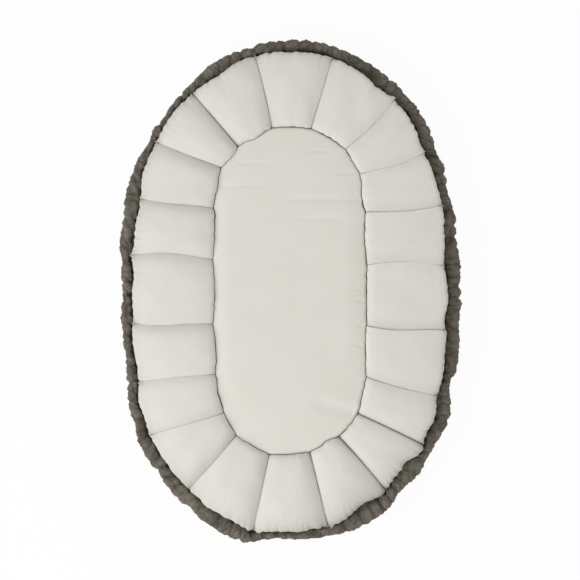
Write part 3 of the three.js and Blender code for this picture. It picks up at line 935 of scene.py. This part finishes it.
def gathers(share, turn):
    """(swell, shade): how far the gathered cloth stands out, and from 0 to 1 the shade painted in its
    folds.
    """
    slant = SLANT * np.sin(2 * np.pi * turn + SLANT_TURNS * gather_pitch(share + 0.6))
    beads = BEADS * share + BEAD_DRIFT * gather_pitch(share + 0.8) + BEAD_SLANT * slant
    beads = np.abs(np.sin(np.pi * beads))
    swell = BEAD_HEIGHT * force_at(share + 0.9, 0, *BEAD_FORCE) * arched(beads, *BEAD_WAVE)
    painted_shade = BEAD_SHADE * (1 - beads) ** 3
    for seed, round_counts, across_counts, height, depth in PUFFS:
        field = np.abs(Ripples(seed, round_counts, across_counts, 12, whole=True)(share, turn))
        swell = swell + height * arched(field, *PUFF_WAVE)
        painted_shade = painted_shade + depth * np.clip(1 - field / PUFF_SHADE_LEVEL, 0, 1)
    for number, (count, height, drift) in enumerate(RIDGES):
        ridge = count * share + drift * gather_pitch(share + number / 3) + slant * (1 + number)
        ridge = np.abs(np.sin(np.pi * ridge))
        force = force_at(share + number / 5, turn, *RIDGE_FORCE)
        swell = swell + height * force * arched(ridge, *RIDGE_WAVE)
        painted_shade = painted_shade + RIDGE_SHADE * force * (1 - ridge) ** 3
    return np.maximum(swell, -SWELL_LIMIT), np.clip(painted_shade, 0, 1)


def casing_places(share, middle, across, up):
    """Places in the casing's tilted section, by their place across it and up it from its middle."""
    tilt = CASING_TILT * casing_twist(share)
    outward = middle + across * np.cos(tilt) - up * np.sin(tilt)
    level = border_level + across * np.sin(tilt) + up * np.cos(tilt)
    return at_level(outer_oval.off(share, outward), level + CASING_LIFT * casing_sway(share + 0.4))


def border_points(share, turn, swell):
    """One side of the casing's cloth, [section][turn]."""
    half_width = band_width(share) / 2
    half_height = CASING_HEIGHT / 2 + HEIGHT_SWAY * casing_sway(share)
    angle = 2 * np.pi * turn
    across, up = (half_width + swell) * np.cos(angle), (half_height + swell) * np.sin(angle)
    return casing_places(share, outer_edge(share) - half_width, across, up)


def ring_faces(sections, around, offset=0, flip=False):
    """Quads of a tube closed both ways, [section][turn]."""
    i, j = np.meshgrid(np.arange(sections), np.arange(around), indexing="ij")
    after, beside = (i + 1) % sections, (j + 1) % around
    quads = [i * around + j, i * around + beside, after * around + beside, after * around + j]
    faces = offset + np.stack(quads, -1).reshape(-1, 4)
    return (faces[:, ::-1] if flip else faces).tolist()


border_share, border_turn = np.meshgrid(
    np.arange(SECTIONS) / SECTIONS, np.arange(ROUND) / ROUND, indexing="ij"
)
border_swell, border_painted_shade = gathers(border_share, border_turn)
border = border_points(border_share, border_turn, border_swell)
tunnel = border_points(border_share, border_turn, border_swell - CASING_CLOTH)
border_uv = np.stack([border_share * outer_oval.length * CLOTH_ALONG, border_turn * CLOTH_ROUND], -1)
gathered_border = new_piece(
    "gathered_border",
    np.stack([border, tunnel]),
    ring_faces(SECTIONS, ROUND) + ring_faces(SECTIONS, ROUND, SECTIONS * ROUND, flip=True),
    outer_cotton,
    "nest",
    np.stack([border_uv, border_uv]),
)
# Painted shade in the casing's folds, on both sides of its cloth
paint_shade(gathered_border, np.tile(border_painted_shade.ravel(), 2))
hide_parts("edge_casing")

# Elastic

ELASTIC_SECTIONS = 900
STRIP_WIDTH, NARROWEST = 10 * MM, 2.4 * MM
STRIP_ROOM = 0.6 * MM
# Its section, in half widths and half thicknesses
STRIP_SIDE = np.array([(1, -0.6), (1, 0.6), (0.85, 1), (-0.85, 1)])
STRIP_SECTION = np.roll(np.vstack([STRIP_SIDE, -STRIP_SIDE]), 3, axis=0)
# Steps of the cloth along and round the strip
STRIP_STEPS = 2.6 * MM, 3 * MM


def elastic_points():
    """A flat knitted strip lying along the middle of the casing, bunched up where that is narrow."""
    share = np.repeat(np.arange(ELASTIC_SECTIONS)[:, None] / ELASTIC_SECTIONS, len(STRIP_SECTION), axis=1)
    half_width = band_width(share) / 2
    half = np.clip(half_width - SWELL_LIMIT - CASING_CLOTH - STRIP_ROOM, NARROWEST / 2, STRIP_WIDTH / 2)
    across, up = STRIP_SECTION[:, 0] * half, STRIP_SECTION[:, 1] * (strip_high[2] - strip_low[2]) / 2
    return casing_places(share, outer_edge(share) - half_width, across, up)


strip = elastic_points()
along, around = np.meshgrid(*(np.arange(count) for count in strip.shape[:2]), indexing="ij")
elastic_strip = new_piece(
    "elastic_strip",
    strip,
    ring_faces(*strip.shape[:2], flip=True),
    elastic_tape,
    "nest",
    np.stack([along, around], -1) * STRIP_STEPS,
)
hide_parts("edge_elastic")

# Mattress

PAD_COLUMNS, PAD_CAP, PAD_STRAIGHT = 57, 56, 130
PAD_GATHER, CAP_SHARE = 0.6, 0.92
HALF_WIDTH, HALF_STRAIGHT = mattress_width / 2, (mattress_length - mattress_width) / 2
PAD_CORNER, PAD_HEEL = 6 * MM, 9 * MM
SEAM_GROOVE, GROOVE_HEIGHT = 1.6 * MM, 5 * MM
# How far the rim stands up against the wall, and how far the middle crowns over it
RIM_LIFT, PAD_CROWN = 3 * MM, 5 * MM
# How far in the crown reaches its height, how much further at both ends, and where those begin
LEFT_SHOULDER, RIGHT_SHOULDER = 25 * MM, 42 * MM
HEAD_SHOULDER, FOOT_SHOULDER = 35 * MM, 95 * MM
END_FROM, END_REACH = 140 * MM, 140 * MM
WRINKLES, WRINKLE_SPAN = 0.35 * MM, 0.6
# Gap to the wall, and how far in the cover moves with the wall's bulges, its strays and its neat corners
MOST_GAP, GAP_RIPPLE = 1.6 * MM, 0.4 * MM
PRESS_REACH, STRAY_REACH, NEAT_REACH = 9 * MM, 45 * MM, 20 * MM
gap_ripple = Ripples(47, (20, 80), terms=20)
pad_ripple = Ripples(71, (1, 5), (1, 4), 16)

# Soft folds of the mattress cover: from x, y to x, y in metres, half width and depth in millimetres
PAD_FOLDS = [
    (-0.087, 0.228, -0.046, 0.228, 2.6, 1.26),
    (-0.118, 0.186, -0.056, 0.187, 2.0, 1.82),
    (0.017, 0.162, 0.112, 0.163, 5.0, 2.1),
    (0.098, 0.171, 0.122, 0.172, 2.0, 1.54),
    (0.040, 0.249, 0.062, 0.249, 2.6, 1.12),
    (0.091, 0.210, 0.120, 0.210, 2.6, 1.12),
    (0.026, 0.128, 0.083, 0.128, 5.0, 1.26),
    (-0.061, 0.174, -0.044, 0.174, 2.6, 0.7),
    (0.060, -0.206, 0.122, -0.222, 12.0, 3.08),
    (0.126, 0.001, 0.136, 0.001, 1.8, 1.68),
    (0.126, -0.019, 0.136, -0.019, 1.8, 1.68),
    (0.125, -0.064, 0.136, -0.064, 1.8, 1.68),
    (0.126, -0.100, 0.136, -0.100, 1.8, 1.68),
    (-0.136, 0.070, -0.127, 0.071, 1.8, 1.12),
    (-0.136, -0.045, -0.126, -0.044, 1.8, 1.12),
]


def folds(plan):
    """Depth of the cover's folds at places on the mattress."""
    total = 0
    for x0, y0, x1, y1, half, deep in PAD_FOLDS:
        start, way = np.array([x0, y0]), np.array([x1 - x0, y1 - y0])
        length = np.linalg.norm(way)
        way = way / length
        along = (plan - start) @ way
        aside = (plan - start) @ np.array([-way[1], way[0]])
        past = np.maximum(np.maximum(-along, along - length), 0) / (0.2 * length + 2 * MM)
        total = total + deep * MM * np.exp(-((aside / (half * MM)) ** 2) - past**2)
    return total


def pad_plan(inset):
    """Square grid over the mattress outline drawn in by an inset."""
    radius, straight = HALF_WIDTH - inset, HALF_STRAIGHT
    u = 2 * eased(PAD_COLUMNS, PAD_GATHER) - 1
    cap = np.sin(np.linspace(0, 1, PAD_CAP) * np.pi / 2 * CAP_SHARE) / math.sin(np.pi / 2 * CAP_SHARE)
    rows = [(0, y) for y in np.linspace(-straight, straight, PAD_STRAIGHT)[1:-1]]
    rows = [(-v, -straight) for v in cap[::-1]] + rows + [(v, straight) for v in cap]
    grid = np.zeros((PAD_COLUMNS, len(rows), 2))
    for j, (v, y) in enumerate(rows):
        grid[:, j, 0] = radius * u * np.sqrt(1 - v * v / 2)
        grid[:, j, 1] = y + radius * v * np.sqrt(1 - u * u / 2)
    return grid


def pressed(plan):
    """The same places where the wall's channels push the mattress in."""
    depth = np.clip(pad_depth(plan), 0, None)
    share = nearest_share(plan)
    gap = np.clip(GAP_RIPPLE * gap_ripple(share) + soft_steps(share, LOOSE), 0, MOST_GAP)
    inward = (press(share) + gap) * np.exp(-depth / PRESS_REACH)
    inward = inward + soft_steps(share, FOOT_STRAY) * np.exp(-depth / STRAY_REACH)
    past = np.clip(depth - PAD_CORNER, 0, None)
    inward = inward - soft_steps(share, NEAT) * np.minimum(depth, PAD_CORNER) * np.exp(-past / NEAT_REACH)
    return plan - foot_line.out(share) * inward[..., None]


def nearest_share(plan):
    """Share of the foot outline beside a place on the mattress."""
    x, y = plan[..., 0], plan[..., 1]
    along = np.clip(y, -HALF_STRAIGHT, HALF_STRAIGHT)
    turn = np.arctan2(x, y - along)
    reach = (HALF_WIDTH + FOOT_CLEARANCE) * np.abs(turn) + HALF_STRAIGHT - along
    return np.where(turn < 0, -1, 1) * reach / foot_line.length


def pad_depth(plan):
    """Distance in from the mattress outline."""
    along = np.maximum(np.abs(plan[..., 1]) - HALF_STRAIGHT, 0)
    return HALF_WIDTH - np.hypot(plan[..., 0], along)


def rim_of(grid):
    """The outer places of a grid in order."""
    return np.concatenate([grid[:-1, 0], grid[-1, :-1], grid[:0:-1, -1], grid[0, :0:-1]])


rim_level = mattress_top + RIM_LIFT


def pad_top():
    """Upper side of the mattress: a soft crown inside its rim, with wrinkles and folds."""
    plan = pad_plan(PAD_CORNER)
    depth = np.clip(pad_depth(plan) - PAD_CORNER, 0, None)
    side_share = (1 + plan[..., 0] / HALF_WIDTH) / 2
    shoulder = LEFT_SHOULDER + (RIGHT_SHOULDER - LEFT_SHOULDER) * side_share
    for way, longer in ((1, HEAD_SHOULDER), (-1, FOOT_SHOULDER)):
        shoulder += longer * np.clip((way * plan[..., 1] - END_FROM) / END_REACH, 0, 1)
    rise = 1 - (1 - np.clip(depth / shoulder, 0, 1)) ** 2
    wrinkle = WRINKLES * pad_ripple(plan[..., 0] / WRINKLE_SPAN, plan[..., 1] / WRINKLE_SPAN) * rise
    return at_level(pressed(plan), rim_level + PAD_CROWN * rise + wrinkle - folds(plan))


def pad_side():
    """(inset, level) of the rings from the rim down to the bottom, round the seam's groove."""
    seam_top, seam_foot = mattress_seam + GROOVE_HEIGHT / 2, mattress_seam - GROOVE_HEIGHT / 2
    turns = [(1 - math.sin(t), 1 - math.cos(t)) for t in np.linspace(0, np.pi / 2, 5)]
    rings = [(PAD_CORNER * inset, rim_level - PAD_CORNER * sink) for inset, sink in turns[1:]]
    rings += [(0, level) for level in np.linspace(rim_level - PAD_CORNER, seam_top, 5)[1:]]
    rings += [(SEAM_GROOVE * (1 - abs(n) / 2), mattress_seam - n * MM) for n in (-1, 0, 1)]
    rings += [(0, level) for level in np.linspace(seam_foot, mattress_bottom + PAD_HEEL, 4)]
    return rings + [(PAD_HEEL * sink, mattress_bottom + PAD_HEEL * inset) for inset, sink in turns[1:-1]]


def mattress_pad():
    top = pad_top()
    shape = top.shape[:2]
    rim = rim_of(np.arange(top[..., 0].size).reshape(shape))
    loops, points = [rim], [top.reshape(-1, 3)]
    count = len(points[0])
    for inset, level in pad_side():
        flat_ring = rim_of(pad_plan(inset))
        tight = soft_steps(nearest_share(flat_ring), NEAT)
        drop = rim_level - level
        drop = np.where(drop < PAD_CORNER, drop * (1 - tight), np.maximum(drop, PAD_CORNER * (1 - tight)))
        points.append(at_level(pressed(flat_ring), rim_level - drop))
        loops.append(count + np.arange(len(rim)))
        count += len(rim)
    points.append(at_level(pad_plan(PAD_HEEL), np.full(shape, mattress_bottom)).reshape(-1, 3))
    loops.append(count + rim)
    faces = grid_faces(*shape)
    for upper, lower in zip(loops, loops[1:]):
        faces += band_faces(upper, lower)
    faces += grid_faces(*shape, offset=count, flip=True)
    points = np.vstack(points)
    return new_piece("mattress_pad", points, faces, cover_cotton, "mattress", points[:, :2])


mattress = mattress_pad()
subdivide(mattress)
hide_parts("mattress_cover_top", "mattress_cover_bottom", "mattress_core")

# Floor lining

FLOOR_CLOTH = floor_high[2] - floor_low[2]
FLOOR_TUCK = 2 * MM
FLOOR_CREASE, DEEPEST, CREASE_SPAN = 0.3 * MM, 0.7 * MM, 0.6
CALM_REACH = 30 * MM


def floor_sheet():
    """The cream cloth under the mattress, sewn in at the wall's foot."""
    plan = pad_plan(FLOOR_TUCK - FOOT_CLEARANCE)
    crumple = Ripples(81, (2, 9), (2, 12), 30)
    calm = np.clip((pad_depth(plan) + FOOT_CLEARANCE - FLOOR_TUCK) / CALM_REACH, 0, 1)
    drop = FLOOR_CREASE * (1 + crumple(plan[..., 0] / CREASE_SPAN, plan[..., 1] / CREASE_SPAN)) * calm
    top = at_level(plan, floor_high[2] - np.clip(drop, 0, DEEPEST))
    under = top - (0, 0, FLOOR_CLOTH)
    shape, size = plan.shape[:2], top[..., 0].size
    rim = rim_of(np.arange(size).reshape(shape))
    faces = grid_faces(*shape) + grid_faces(*shape, offset=size, flip=True) + band_faces(rim, rim + size)
    points = np.vstack([top.reshape(-1, 3), under.reshape(-1, 3)])
    piece = new_piece("floor_cloth", points, faces, lining_cotton, "nest", points[:, :2])
    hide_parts("floor_lining")


floor_sheet()

# Stage, light, camera

VIEW_SPAN, CAMERA_HEIGHT = 1.044, 4.0
SENSOR, FARTHEST = 36, 50
# The floor's size and grey, and how much of it the camera sees as plain white
FLOOR_REACH, FLOOR_COLOUR, FLOOR_WHITE = 6.0, (0.86, 0.86, 0.86), 0.95
SKY_COLOUR, SKY_STRENGTH = (1.0, 0.98, 0.945), 0.62
LAMP_COLOUR, LAMP_TARGET = (0.972, 0.985, 1.0), (0, 0, 0.05)


def backdrop(block, output, lit, colour, shown, shown_part):
    """Shade a floor or sky in its own colour, with white for a part of what is seen directly."""
    nodes = Nodes(block)
    nodes.tree.nodes.clear()
    path = nodes.add("ShaderNodeLightPath").outputs
    seen = nodes.math("MAXIMUM", path["Is Camera Ray"], path["Is Glossy Ray"])
    seen = nodes.math("MAXIMUM", seen, path["Is Transmission Ray"])
    lit = nodes.add(lit, Color=(*colour, 1))
    shown = nodes.add(shown, Color=(1, 1, 1, 1), Strength=1.0)
    mix = nodes.add("ShaderNodeMixShader")
    shaders = nodes.math("MULTIPLY", seen, shown_part), lit.outputs[0], shown.outputs[0]
    for socket, value in zip(mix.inputs, shaders):
        nodes.feed(socket, value)
    nodes.add(output, Surface=mix.outputs[0])
    return lit


def stage():
    mesh = bpy.data.meshes.new("floor")
    far = FLOOR_REACH
    mesh.from_pydata([(-far, -far, 0), (far, -far, 0), (far, far, 0), (-far, far, 0)], [], [[0, 1, 2, 3]])
    floor = put("floor", mesh)
    material = bpy.data.materials.new("floor")
    kinds = "ShaderNodeOutputMaterial", "ShaderNodeBsdfDiffuse", FLOOR_COLOUR, "ShaderNodeEmission"
    backdrop(material, *kinds, FLOOR_WHITE)
    mesh.materials.append(material)


def world():
    sky = bpy.data.worlds.new("studio")
    bpy.context.scene.world = sky
    kinds = "ShaderNodeOutputWorld", "ShaderNodeBackground", SKY_COLOUR, "ShaderNodeBackground"
    light = backdrop(sky, *kinds, 1.0)
    light.inputs["Strength"].default_value = SKY_STRENGTH


def lamp(name, place, size, energy):
    data = bpy.data.lights.new(name, "AREA")
    data.shape = "DISK"
    data.size = size
    data.energy = energy
    data.color = LAMP_COLOUR
    way = Vector(LAMP_TARGET) - Vector(place)
    put(name, data, place).rotation_euler = way.to_track_quat("-Z", "Y").to_euler()


def camera():
    data = bpy.data.cameras.new("camera")
    data.sensor_width = SENSOR
    data.lens = SENSOR * (CAMERA_HEIGHT - border_level) / VIEW_SPAN
    data.clip_end = FARTHEST
    bpy.context.scene.camera = put("camera", data, (0, 0, CAMERA_HEIGHT))


stage()
world()
lamp("key", (-2.1, -1.1, 2.0), 2.8, 55)
lamp("fill", (2.1, 0.7, 1.5), 2.0, 3)
camera()
bpy.context.scene.view_settings.view_transform = "Standard"
